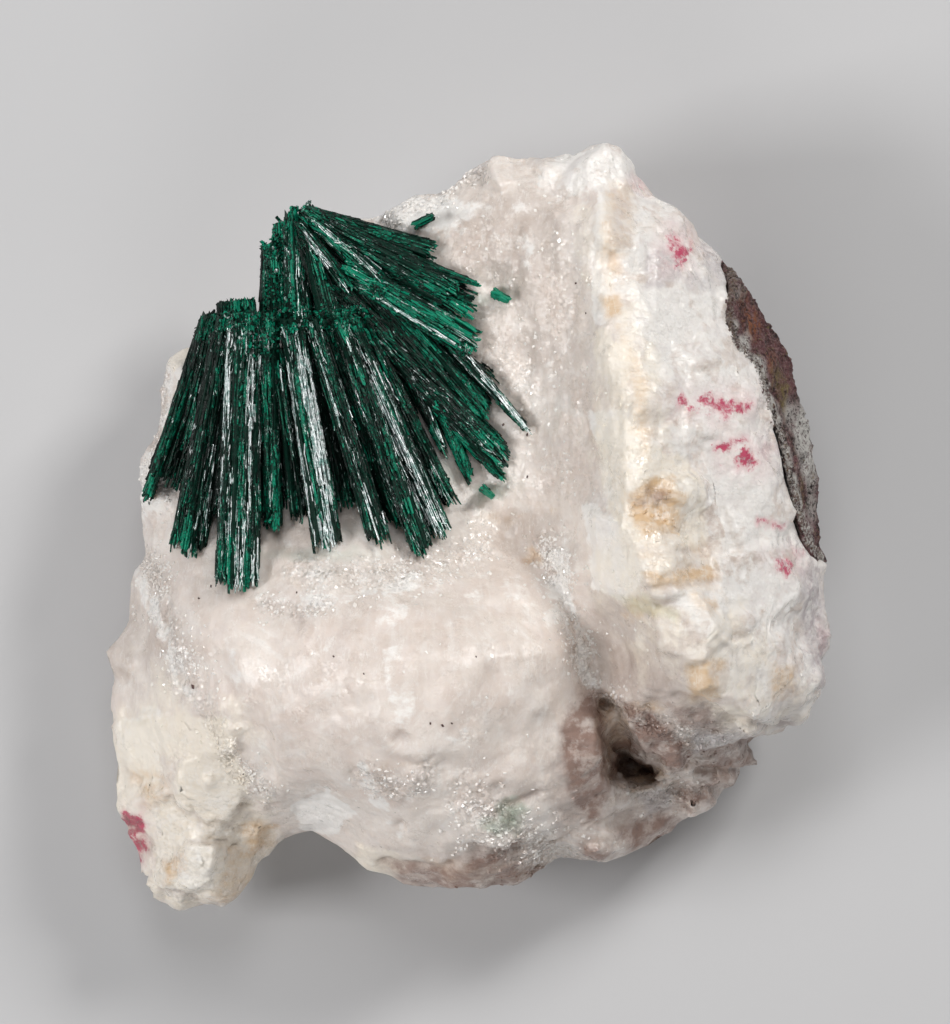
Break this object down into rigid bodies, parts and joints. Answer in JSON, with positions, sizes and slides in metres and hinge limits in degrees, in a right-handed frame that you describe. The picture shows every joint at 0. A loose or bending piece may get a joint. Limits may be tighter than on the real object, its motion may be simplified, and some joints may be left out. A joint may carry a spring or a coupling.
{
  "type": "mineral specimen",
  "caption": "Radiating fan of dark green malachite needles on pinkish white calcite, with a rind of dark brown host rock",
  "frame": {"origin": "centre of the specimen's box at its bottom, on the flat broken back that it lies on", "axes": "+Z from the back to the display side, +Y towards the edge that is at the top of the picture, +X towards the host rock"},
  "size_m": [0.0728, 0.0776, 0.0416],
  "materials": {
    "calcite": "satin",
    "host_rock": "matte",
    "malachite": "satin"
  },
  "bodies": {
    "root": {"calcite_matrix": "calcite", "host_rock": "host_rock", "malachite_fan": "malachite", "stray_crystal_right": "malachite", "stray_crystal_top": "malachite", "stray_crystal_low": "malachite"}
  },
  "joints": []
}
